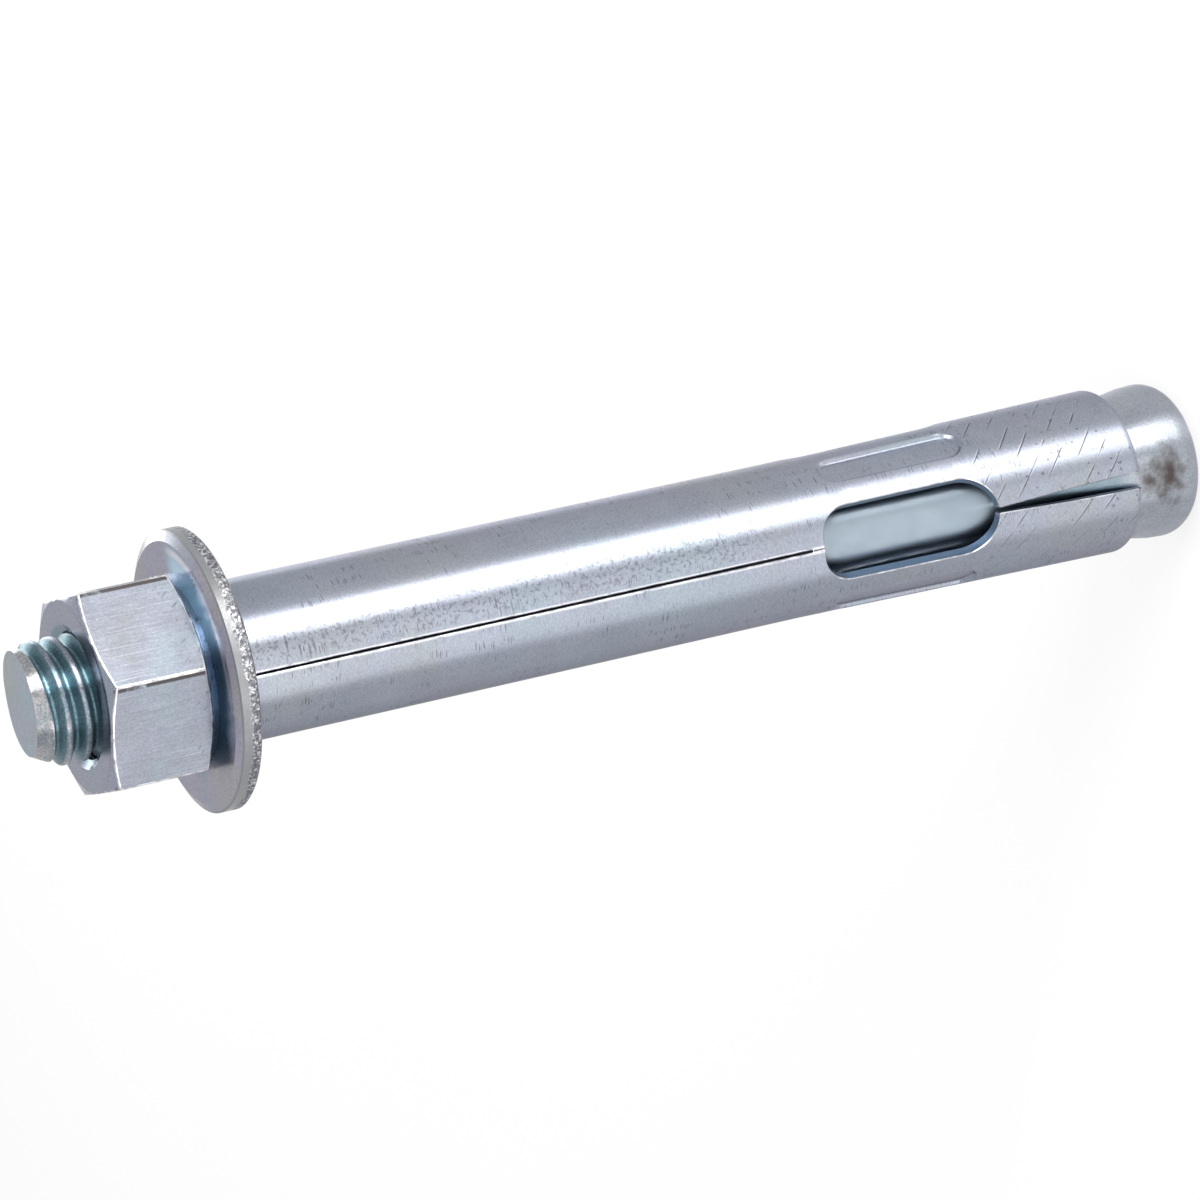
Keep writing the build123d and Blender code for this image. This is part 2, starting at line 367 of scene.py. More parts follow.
def make_rub_group():
    """Rows of fine slanting lines, broken along their length, rubbed in by another thread."""
    wiring, given, result = start_group(
        "Rub Lines",
        {"Spacing": 0.00195, "Slant": 0.72, "Width": 0.00012, "Share": 0.5, "Radius": 0.0084, "Break": 300.0},
        ("Mask", "Side"),
    )
    along, across = slanted_place(wiring, given["Slant"], given["Radius"])
    row = wiring.over(across, given["Spacing"])
    number = wiring.math("ROUND", row)
    offset = wiring.times(wiring.minus(row, number), given["Spacing"])
    line = wiring.fade(wiring.math("ABSOLUTE", offset), full=0.0, none=given["Width"])
    lengths = wiring.noise(wiring.vector(wiring.times(along, given["Break"]), number), scale=1.0, detail=1.0)
    unbroken = wiring.rise(
        lengths, none=wiring.minus(0.95, given["Share"]), full=wiring.minus(1.05, given["Share"]),
    )
    # Side: a thin band beside each line, which the sleeve's finish paints bright as a highlight
    beside = wiring.math("ABSOLUTE", wiring.minus(offset, given["Width"]))
    wiring.put(result["Mask"], wiring.times(line, unbroken))
    wiring.put(result["Side"], wiring.times(wiring.fade(beside, full=0.0, none=given["Width"]), unbroken))


def make_smudge_group():
    """A ragged smudge of dirt round one place."""
    wiring, given, result = start_group(
        "Smudge",
        {"X": 0.0, "Y": 0.0, "Z": 0.0, "Size": 0.002, "Flatness": 1.0, "Raggedness": 0.5},
        ("Mask",),
    )
    x, y, z = (wiring.minus(part, given[axis]) for part, axis in zip(wiring.parts(wiring.place()), "XYZ"))
    distance = wiring.length(wiring.vector(x, y, wiring.times(z, given["Flatness"])))
    ragged = wiring.minus(wiring.noise(wiring.place(), scale=900.0, detail=4.0, roughness=0.5), 0.5)
    reach = wiring.plus(
        wiring.over(distance, given["Size"]), wiring.times(ragged, given["Raggedness"], 4.0),
    )
    wiring.put(result["Mask"], wiring.fade(reach, full=0.0, none=1.1))


def make_tint_group():
    """The faint rainbow of the clear chromate over zinc, in soft patches."""
    wiring, given, result = start_group(
        "Chromate Tint",
        {"Patch": 0.006, "First": (1.0, 0.93, 0.86), "Second": (0.95, 0.88, 1.0), "Third": (0.86, 0.95, 1.0)},
        ("Color",),
    )
    patches = wiring.noise(wiring.place(), wiring.over(1.0, given["Patch"]), detail=2.0)
    warm = wiring.mix(wiring.rise(patches, none=0.35, full=0.5), given["First"], given["Second"])
    wiring.put(result["Color"], wiring.mix(wiring.rise(patches, none=0.5, full=0.65), warm, given["Third"]))


def make_draw_group():
    """Long fine lines along the anchor's axis, left by the drawn bar that a nut is cut from."""
    wiring, given, result = start_group(
        "Draw Lines", {"Width": 0.00015, "Length": 0.006, "Share": 0.4}, ("Mask", "Shade"),
    )
    x, y, z = wiring.parts(wiring.place())
    drawn = wiring.vector(x, y, wiring.times(z, wiring.over(given["Width"], given["Length"])))
    lines = wiring.noise(drawn, wiring.over(1.0, given["Width"]), detail=2.0)
    low = wiring.line(given["Share"], slope=-0.5, start=0.85)
    wiring.put(result["Mask"], wiring.rise(lines, none=low, full=wiring.plus(low, 0.08)))
    wiring.put(result["Shade"], wiring.rise(lines, none=0.3, full=0.7))


def make_torn_group():
    """The torn part of a stamped rim: pits and peaks in ragged rows across it."""
    wiring, given, result = start_group(
        "Torn Rim", {"Edge": WASHER_RIM, "Size": 0.0003, "Ragged": 0.0012}, ("Rim", "Zone", "Pits", "Peaks"),
    )
    _, height, radius = wiring.round_place()
    inset = wiring.minus(given["Edge"], radius)
    rim = wiring.fade(inset, full=0.0001, none=0.0003)
    ragged = wiring.line(wiring.noise(wiring.place(), scale=400.0, detail=2.0), given["Ragged"], height)
    zone = wiring.times(rim, wiring.fade(ragged, full=WASHER_TOP - 0.0009, none=WASHER_TOP - 0.0005))
    rough = wiring.noise(wiring.place(), wiring.over(1.0, given["Size"]), roughness=0.6)
    wiring.put(result["Rim"], rim)
    wiring.put(result["Zone"], zone)
    wiring.put(result["Pits"], wiring.times(zone, wiring.fade(rough, full=0.40, none=0.50)))
    wiring.put(result["Peaks"], wiring.times(zone, wiring.rise(rough, none=0.53, full=0.60)))


GROUPS = (
    make_torn_group,
    make_grain_group,
    make_tick_group,
    make_rub_group,
    make_smudge_group,
    make_tint_group,
    make_draw_group,
)


def look_matrix(place, aim, up):
    """The camera's turn: it looks from place to aim with up towards the top of the picture."""
    forward = (Vector(aim) - Vector(place)).normalized()
    right = forward.cross(Vector(up)).normalized()
    top = right.cross(forward)
    turn = Matrix((right, top, -forward)).transposed()
    return Matrix.Translation(place) @ turn.to_4x4()


def direction(turn):
    """A level unit vector, turned in degrees from +X."""
    return Vector((math.cos(math.radians(turn)), math.sin(math.radians(turn)), 0.0))


def around_view(turn, distance, height):
    """A place round the anchor, turned in degrees from the viewer towards the picture's top."""
    return direction(VIEWER_TURN + turn) * distance + Vector((0.0, 0.0, height))


class ANCHOR_OT_stage(bpy.types.Operator):
    """Set the pale floor, the soft lamps, the sky and the camera"""

    bl_idname = "anchor.stage"
    bl_label = "Stage"

    def execute(self, context):
        scene = context.scene
        stage = scene.anchor_stage
        self.make_camera(scene)
        self.make_floor(stage)
        self.make_sky(scene, stage)
        self.make_lamps(stage)
        scene.view_settings.view_transform = "Standard"
        return {"FINISHED"}

    def make_camera(self, scene):
        view = scene.anchor_view
        lens = bpy.data.cameras.new("camera")
        lens.lens = view.lens
        lens.sensor_width = 36.0
        lens.clip_start = 0.01
        lens.clip_end = 100.0
        camera = bpy.data.objects.new("camera", lens)
        camera.matrix_world = look_matrix(view.place, view.aim, view.up)
        scene.collection.objects.link(camera)
        scene.camera = camera

    def make_floor(self, stage):
        bpy.ops.mesh.primitive_plane_add(size=stage.floor_width)
        floor = bpy.context.active_object
        floor.name = "floor"
        paint = bpy.data.materials.new("floor_paint")
        paint.use_nodes = True
        wiring = Wiring(paint.node_tree)
        shader = paint.node_tree.nodes["Principled BSDF"]
        wiring.put(shader.inputs["Base Color"], stage.floor_color)
        shader.inputs["Roughness"].default_value = 0.9
        shader.inputs["Specular IOR Level"].default_value = 0.0
        ray = wiring.node("LightPath").outputs
        seen = wiring.math("MAXIMUM", ray["Is Camera Ray"],
                           wiring.math("MAXIMUM", ray["Is Glossy Ray"], ray["Is Transmission Ray"]))
        white = wiring.node("Emission", {"Color": (1.0, 1.0, 1.0), "Strength": 1.0})
        mix = wiring.node("MixShader", {0: wiring.times(seen, stage.floor_glow)})
        wiring.put(mix.inputs[1], shader.outputs["BSDF"])
        wiring.put(mix.inputs[2], white.outputs["Emission"])
        wiring.put(paint.node_tree.nodes["Material Output"].inputs["Surface"], mix.outputs["Shader"])
        floor.data.materials.append(paint)

    def make_sky(self, scene, stage):
        sky = bpy.data.worlds.new("sky")
        sky.use_nodes = True
        glow = sky.node_tree.nodes["Background"]
        glow.inputs["Color"].default_value = (*stage.sky_color, 1.0)
        glow.inputs["Strength"].default_value = stage.sky_strength
        scene.world = sky

    def lamp(self, name, power, place, width, height):
        light = bpy.data.lights.new(name, "AREA")
        light.shape = "RECTANGLE"
        light.size = width
        light.size_y = height
        light.energy = power
        light.color = bpy.context.scene.anchor_stage.lamp_color
        lamp = bpy.data.objects.new(name, light)
        lamp.matrix_world = look_matrix(place, Vector((0.0, 0.0, place.z)), (0, 0, 1))
        lamp.visible_camera = False
        bpy.context.scene.collection.objects.link(lamp)

    def make_lamps(self, stage):
        for name in ("key", "fill", "rim"):
            power, turn, width = (getattr(stage, name + part) for part in ("_power", "_turn", "_width"))
            place = around_view(turn, stage.lamp_distance, stage.lamp_height)
            self.lamp(name, power, place, width, stage.lamp_length)


def merged(node):
    """A mesh in one piece from a CAD node's loose triangles."""
    mesh = bmesh.new()
    mesh.from_mesh(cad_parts[node].data)
    bmesh.ops.remove_doubles(mesh, verts=mesh.verts, dist=MERGE_DISTANCE)
    return mesh


def smooth(mesh, sharp_angle):
    """Smooth shading, with the edges that are sharper than the angle kept sharp."""
    for face in mesh.faces:
        face.smooth = True
    for edge in mesh.edges:
        edge.smooth = len(edge.link_faces) == 2 and edge.calc_face_angle() < math.radians(sharp_angle)


def round_edges(mesh, rounding, angles, segments, number, least_radius=0.0):
    """Rounds every edge between two angles and outside a radius. The new faces get a material number."""
    bmesh.ops.dissolve_limit(
        mesh, angle_limit=FLAT_ANGLE, verts=mesh.verts, edges=mesh.edges, use_dissolve_boundaries=False,
    )
    low, high = (math.radians(angle) for angle in angles)
    edges = [
        edge for edge in mesh.edges
        if len(edge.link_faces) == 2 and low < edge.calc_face_angle() <= high
        and max(corner.co.xy.length for corner in edge.verts) > least_radius
    ]
    rounded = bmesh.ops.bevel(
        mesh, geom=edges, offset=rounding, offset_type="OFFSET", segments=segments, profile=0.5,
        affect="EDGES", clamp_overlap=False, material=-1,
    )["faces"]
    for face in rounded:
        face.material_index = number


def even_flats(piece):
    """Keeps broad flat faces flat in the light beside their narrow rounded edges."""
    weighting = piece.modifiers.new("even_flats", "WEIGHTED_NORMAL")
    weighting.mode = "FACE_AREA"
    weighting.weight = 50
    weighting.keep_sharp = True


def mark_faces(mesh, number, wanted):
    """Gives the plain faces that are wanted the material with a number."""
    bmesh.ops.recalc_face_normals(mesh, faces=mesh.faces)
    for face in mesh.faces:
        if face.material_index == 0 and wanted(face):
            face.material_index = number


def is_flat_end(face):
    """Whether a face lies square to the axis."""
    return abs(face.normal.z) > END_FACE_TILT


def is_wall(face):
    """Whether a face is a wall of a cut, which looks along the surface, or lies in the bore."""
    centre = face.calc_center_median().xy
    outward = face.normal.xy.dot(centre.normalized())
    in_bore = outward < 0.0 and centre.length < BORE_REACH
    return (abs(outward) < WALL_TURN or in_bore) and not is_flat_end(face)


def round_normals(data):
    """Shades the faces that look away from the axis as true cylinders and cones."""
    normals = [corner.vector.copy() for corner in data.corner_normals]
    for face in data.polygons:
        if face.normal.xy.dot(face.center.xy.normalized()) <= ROUND_FACE_TURN:
            continue
        rise = face.normal.z
        level = math.sqrt(1.0 - rise * rise)
        for index in face.loop_indices:
            corner = data.vertices[data.loops[index].vertex_index].co
            out = corner.xy.normalized() * level
            normals[index] = Vector((out.x, out.y, rise))
    data.normals_split_custom_set(normals)


def finish_piece(name, mesh, body, materials, replaced=(), sharp_angle=30.0):
    """Turns a mesh into a piece that rides on its body."""
    bmesh.ops.recalc_face_normals(mesh, faces=mesh.faces)
    smooth(mesh, sharp_angle)
    data = bpy.data.meshes.new(name)
    mesh.to_mesh(data)
    mesh.free()
    if not data.polygons:
        raise RuntimeError("the piece " + name + " came out empty")
    for material in materials:
        data.materials.append(material)
    piece = bpy.data.objects.new(name, data)
    bpy.context.scene.collection.objects.link(piece)
    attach(piece, body)
    if replaced:
        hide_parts(*replaced)
    return piece


def whole(mesh):
    """Every vertex, edge and face of a mesh."""
    return list(mesh.verts) + list(mesh.edges) + list(mesh.faces)


def cut(mesh, height, above):
    """Cuts a mesh at a height and keeps what is above it or what is below it."""
    side = 1.0 if above else -1.0
    bmesh.ops.bisect_plane(
        mesh, geom=whole(mesh), dist=MERGE_DISTANCE, plane_co=(0, 0, height), plane_no=(0, 0, side),
        clear_inner=True, clear_outer=False,
    )


def rim(mesh, height):
    """The open edges of a mesh at a height."""
    return [
        edge for edge in mesh.edges
        if edge.is_boundary and all(abs(corner.co.z - height) < RIM_TOLERANCE for corner in edge.verts)
    ]


def wind(mesh, pitch, turns, steps):
    """Winds the mesh up round the Z axis into a right-handed screw of equal turns."""
    bmesh.ops.spin(
        mesh, geom=whole(mesh), cent=(0, 0, 0), axis=(0, 0, 1), dvec=(0, 0, pitch / steps),
        angle=math.tau, steps=steps, use_merge=False, use_duplicate=False,
    )
    first_turn = whole(mesh)
    for turn in range(1, turns):
        copy = bmesh.ops.duplicate(mesh, geom=first_turn)["geom"]
        corners = [item for item in copy if isinstance(item, bmesh.types.BMVert)]
        bmesh.ops.translate(mesh, verts=corners, vec=(0, 0, pitch * turn))
    bmesh.ops.remove_doubles(mesh, verts=mesh.verts, dist=MERGE_DISTANCE)


def chain(mesh, corners, closed=False):
    """Edges through a few corners, each given as distance from the axis and height."""
    points = [mesh.verts.new((radius, 0.0, height)) for radius, height in corners]
    pairs = list(zip(points, points[1:]))
    if closed:
        pairs.append((points[-1], points[0]))
    for pair in pairs:
        mesh.edges.new(pair)
    return points


def thread_start(thread, turn, height):
    """The highest place at or under a height where the crest crosses +X, turned in degrees."""
    shift = -turn / 360.0 * thread.pitch
    return shift + math.floor((height - shift) / thread.pitch) * thread.pitch


def screw_surface(thread):
    """The stud's thread as one screw surface, cut off square at both ends."""
    mesh = bmesh.new()
    start = thread_start(thread, thread.crest_turn, thread.lowest) - thread.pitch
    groove = thread.crest_radius - thread.depth
    half = thread.pitch / 2
    crest = thread.crest_share * half
    foot = half - thread.groove_share * half
    corners = chain(mesh, [
        (groove, start - half), (groove, start - foot), (thread.crest_radius, start - crest),
        (thread.crest_radius, start + crest), (groove, start + foot), (groove, start + half),
    ])
    bmesh.ops.bevel(
        mesh, geom=corners[1:-1], offset=thread.rounding, offset_type="OFFSET", segments=3, profile=0.5,
        affect="VERTICES", material=-1,
    )
    long_edges = [edge for edge in mesh.edges if edge.calc_length() > thread.rounding * 2]
    bmesh.ops.subdivide_edges(mesh, edges=long_edges, cuts=2)
    spare_turns = 3
    turns = math.ceil((STUD_TOP - thread.lowest) / thread.pitch) + spare_turns
    wind(mesh, thread.pitch, turns, thread.steps)
    cut(mesh, thread.lowest, above=True)
    cut(mesh, STUD_TOP, above=False)
    return mesh


def run_out(mesh, thread):
    """Fades the thread into the shank at its low end."""
    for corner in mesh.verts:
        share = (corner.co.z - thread.lowest) / thread.run_out
        if share < 1.0:
            radius = corner.co.xy.length
            wanted = thread.shank_radius + (radius - thread.shank_radius) * max(share, 0.0)
            corner.co.xy *= wanted / radius


def bevel_end(mesh, thread):
    """Turns a bevel on the thread's top end, a little off the axis."""
    middle = direction(thread.end_offset_turn).xy * thread.end_offset
    slope = math.tan(math.radians(thread.end_bevel))
    for corner in mesh.verts:
        allowed = thread.end_radius + (STUD_TOP - corner.co.z) / slope
        away = corner.co.xy - middle
        if away.length > allowed:
            corner.co.xy = middle + away.normalized() * allowed


def cut_end(mesh, thread):
    """Cuts the end off a little out of square, lower away from the viewer, and closes it."""
    tilt = math.tan(math.radians(thread.end_tilt))
    near = direction(VIEWER_TURN)
    top = near * thread.end_radius + Vector((0.0, 0.0, STUD_TOP))
    trimmed = bmesh.ops.bisect_plane(
        mesh, geom=whole(mesh), dist=MERGE_DISTANCE, plane_co=top,
        plane_no=Vector((0.0, 0.0, 1.0)) - near * tilt, clear_outer=True,
    )
    edges = [item for item in trimmed["geom_cut"] if isinstance(item, bmesh.types.BMEdge)]
    bmesh.ops.contextual_create(mesh, geom=edges)


class ANCHOR_OT_stud(bpy.types.Operator):
    """Cut the thread on the stud and finish the stud"""

    bl_idname = "anchor.stud"
    bl_label = "Stud"

    def execute(self, context):
        thread = context.scene.anchor_thread
        mesh = screw_surface(thread)
        run_out(mesh, thread)
        bevel_end(mesh, thread)
        cut_end(mesh, thread)
        self.add_shank(mesh, thread)
        mark_faces(mesh, 1, is_flat_end)
        materials = [stud_finish(context.scene), end_finish(context.scene)]
        finish_piece("threaded_stud", mesh, "stud", materials, ["stud"])
        return {"FINISHED"}

    def add_shank(self, mesh, thread):
        """Joins the CAD's shank and cone on under the thread."""
        joint = thread.lowest - thread.run_out / 4
        shank = merged("stud")
        cut(shank, joint, above=False)
        data = bpy.data.meshes.new("shank")
        shank.to_mesh(data)
        shank.free()
        mesh.from_mesh(data)
        bpy.data.meshes.remove(data)
        edges = rim(mesh, joint) + rim(mesh, thread.lowest)
        bmesh.ops.bridge_loops(mesh, edges=edges)


class ANCHOR_OT_nut(bpy.types.Operator):
    """Round the nut's edges, cut its thread and finish it"""

    bl_idname = "anchor.nut"
    bl_label = "Nut"

    edge_rounding = 0.00018
    edge_angles = (12.0, 180.0)
    least_radius = 0.0095

    def execute(self, context):
        materials = [nut_finish(context.scene), worn_and_highlight_finish(context.scene)]
        even_flats(finish_piece("hex_nut", self.body(), "nut", materials, ["nut"]))
        thread = self.thread(context.scene.anchor_thread)
        finish_piece("nut_thread", thread, "nut", [thread_finish(context.scene)])
        return {"FINISHED"}

    def body(self):
        mesh = merged("nut")
        round_edges(mesh, self.edge_rounding, self.edge_angles, 2, 1, self.least_radius)
        return mesh

    def thread(self, thread):
        """A helical ridge that lies in the stud's groove with the clearance all round."""
        mesh = bmesh.new()
        start = thread_start(thread, thread.crest_turn + 180.0, NUT_BOTTOM) - thread.pitch
        wall = thread.crest_radius + thread.nut_clearance
        tip = wall - thread.depth
        half = thread.pitch / 2
        tip_half = thread.groove_share * half
        foot_half = half - thread.crest_share * half
        inside = thread.nut_clearance
        points = chain(mesh, [
            (wall + inside, start - foot_half), (wall, start - foot_half), (tip, start - tip_half),
            (tip, start + tip_half), (wall, start + foot_half), (wall + inside, start + foot_half),
        ], closed=True)
        bmesh.ops.bevel(
            mesh, geom=points[2:4], offset=thread.rounding / 2, offset_type="OFFSET", segments=2,
            profile=0.5, affect="VERTICES", material=-1,
        )
        spare_turns = 2
        turns = math.ceil((NUT_TOP - NUT_BOTTOM) / thread.pitch) + spare_turns
        wind(mesh, thread.pitch, turns, thread.steps)
        self.open_mouths(mesh, thread, wall + inside)
        return mesh

    def open_mouths(self, mesh, thread, deepest):
        """Cuts the ridge back to the cones of the nut's two mouths."""
        slope = math.tan(math.radians(thread.mouth_slope))
        depth = (thread.mouth_radius - deepest) * slope
        ends = (NUT_BOTTOM + depth, NUT_TOP - depth)
        cut(mesh, ends[0], above=True)
        cut(mesh, ends[1], above=False)
        for height in ends:
            bmesh.ops.holes_fill(mesh, edges=rim(mesh, height), sides=0)
        for corner in mesh.verts:
            inset = min(corner.co.z - NUT_BOTTOM, NUT_TOP - corner.co.z)
            least = min(thread.mouth_radius - inset / slope, deepest) + thread.nut_clearance / 2
            radius = corner.co.xy.length
            if radius < least:
                corner.co.xy *= least / radius


def dress(node, material):
    """Gives a CAD node its finish."""
    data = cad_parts[node].data
    data.materials.clear()
    data.materials.append(material)


class ANCHOR_OT_sleeve(bpy.types.Operator):
    """Finish the rolled sleeve"""

    bl_idname = "anchor.sleeve"
    bl_label = "Sleeve"

    edge_rounding = 0.0001
    dimple_angles = (35.0, 78.0)
    cut_angles = (78.0, 180.0)

    def execute(self, context):
        mesh = merged("sleeve")
        round_edges(mesh, self.edge_rounding, self.dimple_angles, 1, 0)
        round_edges(mesh, self.edge_rounding, self.cut_angles, 1, 1)
        mark_faces(mesh, 2, is_wall)
        materials = [finish(context.scene) for finish in (sleeve_finish, worn_and_highlight_finish, wall_shade_finish)]
        piece = finish_piece(
            "rolled_sleeve", mesh, "sleeve", materials, ["sleeve"], self.dimple_angles[0] / 2,
        )
        round_normals(piece.data)
        return {"FINISHED"}


class ANCHOR_OT_washer(bpy.types.Operator):
    """Finish the washer"""

    bl_idname = "anchor.washer"
    bl_label = "Washer"

    def execute(self, context):
        dress("washer", washer_finish(context.scene))
        return {"FINISHED"}


class Metal(Wiring):
    """A new metal material, painted over step by step with the plating's colours."""

    def __init__(self, scene, name, base, edge="edge", glance_gloss=0.8, **grain):
        self.plating = scene.anchor_plating
        self.material = bpy.data.materials.new(name)
        self.material.use_nodes = True
        super().__init__(self.material.node_tree)
        self.shader = self.tree.nodes["Principled BSDF"].inputs
        self.shader["Metallic"].default_value = 1.0
        self.put(self.shader["Specular Tint"], (glance_gloss,) * 3)
        glance = self.node("LayerWeight", {"Blend": 0.3}).outputs["Facing"]
        self.tone = self.mix(glance, self.color(base), self.color(edge))
        self.grain = self.group("Satin Grain", **grain)

    def color(self, name):
        return getattr(self.plating, name + "_color")

    def brush(self, anisotropy):
        """Draws the gloss out along the axis, as fine marks round the part do."""
        self.shader["Anisotropic"].default_value = anisotropy
        self.shader["Anisotropic Rotation"].default_value = 0.25
        tangent = self.node("Tangent", direction_type="RADIAL", axis="Z")
        self.put(self.shader["Tangent"], tangent.outputs["Tangent"])

    def paint(self, color, mask, share=1.0):
        """Lays a colour, given by its name or made by nodes, over the metal where the mask is."""
        if isinstance(color, str):
            color = self.color(color)
        self.tone = self.mix(self.times(mask, share), self.tone, color)

    def shade(self, share, dark, light, mask=None):
        """Makes the metal darker and lighter with its grain or another mask."""
        if mask is None:
            mask = self.grain["Shade"]
        self.tone = self.mix(share, self.tone, self.step(mask, 0.0, 1.0, dark, light), "MULTIPLY")

    def tint(self, share, patch):
        """Lays the chromate's faint rainbow over the metal."""
        self.tone = self.mix(share, self.tone, self.group("Chromate Tint", Patch=patch)["Color"], "MULTIPLY")

    def finish(self, roughness, depth, patchy=0.0, height=None):
        """Wires the colour, the roughness with its patches and the height into the shader."""
        if patchy:
            roughness = self.line(self.grain["Patches"], patchy, roughness)
        if height is None:
            height = self.grain["Height"]
        bump = self.node("Bump", {"Strength": 1.0, "Distance": depth, "Height": height})
        self.put(self.shader["Base Color"], self.tone)
        self.put(self.shader["Roughness"], roughness)
        self.put(self.shader["Normal"], bump.outputs["Normal"])
        return self.material


def sleeve_finish(scene):
    """Rolled strip: satin zinc with fine marks round it, rub lines on the petals, dull clusters, and painted
    highlights along the seam and beside the rub lines.
    """
    metal = Metal(scene, "sleeve_zinc", "sleeve", glance_gloss=0.5, Grain=0.00025, Patch=0.005, Stretch=2.5)
    metal.brush(anisotropy=0.92)
    metal.tint(share=0.35, patch=0.012)
    metal.shade(share=0.5, dark=0.75, light=1.2)
    marks = sleeve_marks(metal)
    metal.paint("mark", marks, share=0.7)
    x, y, z = metal.parts(metal.place())
    dulled = metal.times(
        metal.rise(x, none=0.0, full=0.0015), metal.fade(x, full=0.0035, none=0.0055),
        metal.fade(y, full=-0.004, none=0.0), metal.rise(z, none=0.046, full=0.055),
    )
    specks = metal.patches(scale=2600.0, detail=2.0, none=0.52, full=0.62)
    metal.paint("mark", metal.times(specks, dulled), share=0.45)
    # A painted highlight: a broken bright line along both sides of the seam
    arc, height, radius = metal.round_place()
    from_seam = metal.times(metal.minus(math.pi, metal.math("ABSOLUTE", arc)), radius)
    seam_highlight = metal.times(
        metal.fade(from_seam, full=0.00025, none=0.00045),
        metal.patches(scale=900.0, detail=2.0, none=0.30, full=0.45),
    )
    metal.paint("bright", seam_highlight, share=0.8)
    petals = metal.times(
        metal.fade(height, full=0.024, none=0.029), metal.step(x, low=-0.006, high=-0.001, bottom=0.35),
        metal.patches(scale=160.0, none=0.36, full=0.5),
    )
    rub = metal.group("Rub Lines")
    lines = metal.times(rub["Mask"], petals)
    metal.paint("mark", lines, share=0.95)
    # A painted highlight beside each rub line
    metal.paint("bright", metal.times(rub["Side"], petals), share=0.3)
    dots = metal.group("Round Ticks", Length=0.0006, Width=0.0006, Share=0.12, Seed=7.0)["Mask"]
    metal.paint("mark", metal.times(dots, petals), share=0.6)
    roughness = metal.line(lines, slope=0.2, start=0.38)
    height = metal.minus(metal.times(metal.grain["Height"], 0.5), metal.plus(marks, lines))
    return metal.finish(roughness, patchy=0.05, depth=0.000012, height=height)


def sleeve_marks(metal):
    """The fine marks round the sleeve, with tall ones in a few clusters."""
    fine = metal.group("Round Ticks", Length=0.0016, Width=0.0002, Share=0.35)["Mask"]
    cluster = metal.patches(scale=220.0, none=0.5, full=0.62)
    marks = metal.times(fine, metal.line(cluster, slope=0.7, start=0.2))
    tall = metal.group("Round Ticks", Length=0.0030, Width=0.0004, Share=0.6, Seed=11.0)["Mask"]
    for place in TICK_CLUSTERS:
        near = metal.group("Smudge", **place, Raggedness=0.1)["Mask"]
        marks = metal.math("MAXIMUM", marks, metal.times(tall, near))
    return marks


def wall_shade_finish(scene):
    """The sleeve's cut walls and bore: painted shade, dark and bluish."""
    metal = Metal(scene, "sleeve_wall_zinc", "wall", "hidden", Grain=0.0003, Patch=0.002)
    return metal.finish(roughness=0.3, patchy=0.1, depth=0.00001)


def worn_and_highlight_finish(scene):
    """Rounded edges painted bright: partly rubbed bright, partly a painted highlight along the edges."""
    metal = Metal(scene, "worn_zinc", "bright", "bright", Grain=0.0003, Patch=0.0012)
    metal.paint("mark", metal.grain["Patches"], share=0.6)
    return metal.finish(roughness=0.3, depth=0.000005)


def stud_finish(scene):
    """Turned stud: satin cone and shank, blue-green thread with its crests rubbed bright, and painted shade
    under the sleeve and behind its slits.
    """
    thread = scene.anchor_thread
    metal = Metal(scene, "stud_zinc", "stud", Grain=0.0002, Patch=0.003)
    metal.brush(anisotropy=0.9)
    metal.shade(share=0.5, dark=0.75, light=1.2)
    _, height, radius = metal.round_place()
    # Painted shade: a bluish tone on the stud under the sleeve
    covered = metal.rise(height, none=SLEEVE_FOOT, full=SLEEVE_FOOT + 0.015)
    metal.paint("hidden", covered)
    # Painted shade on the cone behind the sleeve's slits
    in_slit = metal.times(
        metal.rise(height, none=SLEEVE_FOOT, full=SLEEVE_FOOT + 0.003),
        metal.fade(height, full=SLEEVE_FOOT + 0.014, none=SLEEVE_FOOT + 0.018),
    )
    metal.paint("slit", in_slit, share=0.6)
    for smudge in CONE_SMUDGES:
        mask = metal.group("Smudge", **smudge, Raggedness=0.3)["Mask"]
        metal.paint("dirt", mask, share=0.95)
    on_thread = metal.rise(height, none=thread.lowest - 0.001, full=thread.lowest)
    crest = metal.rise(radius, none=thread.crest_radius - 0.0002, full=thread.crest_radius - 0.00005)
    worn = metal.patches(scale=500.0, detail=4.0, roughness=0.7, none=0.40, full=0.62)
    crest = metal.times(crest, metal.line(worn, slope=0.75, start=0.15))
    flank = metal.mix(crest, metal.color("thread"), metal.color("edge"))
    bevel = metal.times(on_bevel(metal, thread, height), metal.line(worn, slope=0.4, start=0.5))
    flank = metal.mix(bevel, flank, metal.color("bevel"))
    metal.paint(metal.mix(0.5, flank, metal.grain["Shade"], "MULTIPLY"), on_thread)
    roughness = metal.line(on_thread, slope=-0.1, start=0.3)
    roughness = metal.line(covered, slope=0.12, start=roughness)
    return metal.finish(roughness, patchy=0.08, depth=0.00001)


def on_bevel(metal, thread, height):
    """A mask of the bevel round the stud's end, which is a little off the axis."""
    x, y, _ = metal.parts(metal.place())
    middle = direction(thread.end_offset_turn) * thread.end_offset
    away = metal.length(metal.vector(metal.minus(x, middle.x), metal.minus(y, middle.y)))
    widened = metal.times(metal.minus(STUD_TOP, height), 1.0 / math.tan(math.radians(thread.end_bevel)))
    return metal.rise(
        metal.minus(away, widened), none=thread.end_radius - 0.00015, full=thread.end_radius - 0.00005,
    )


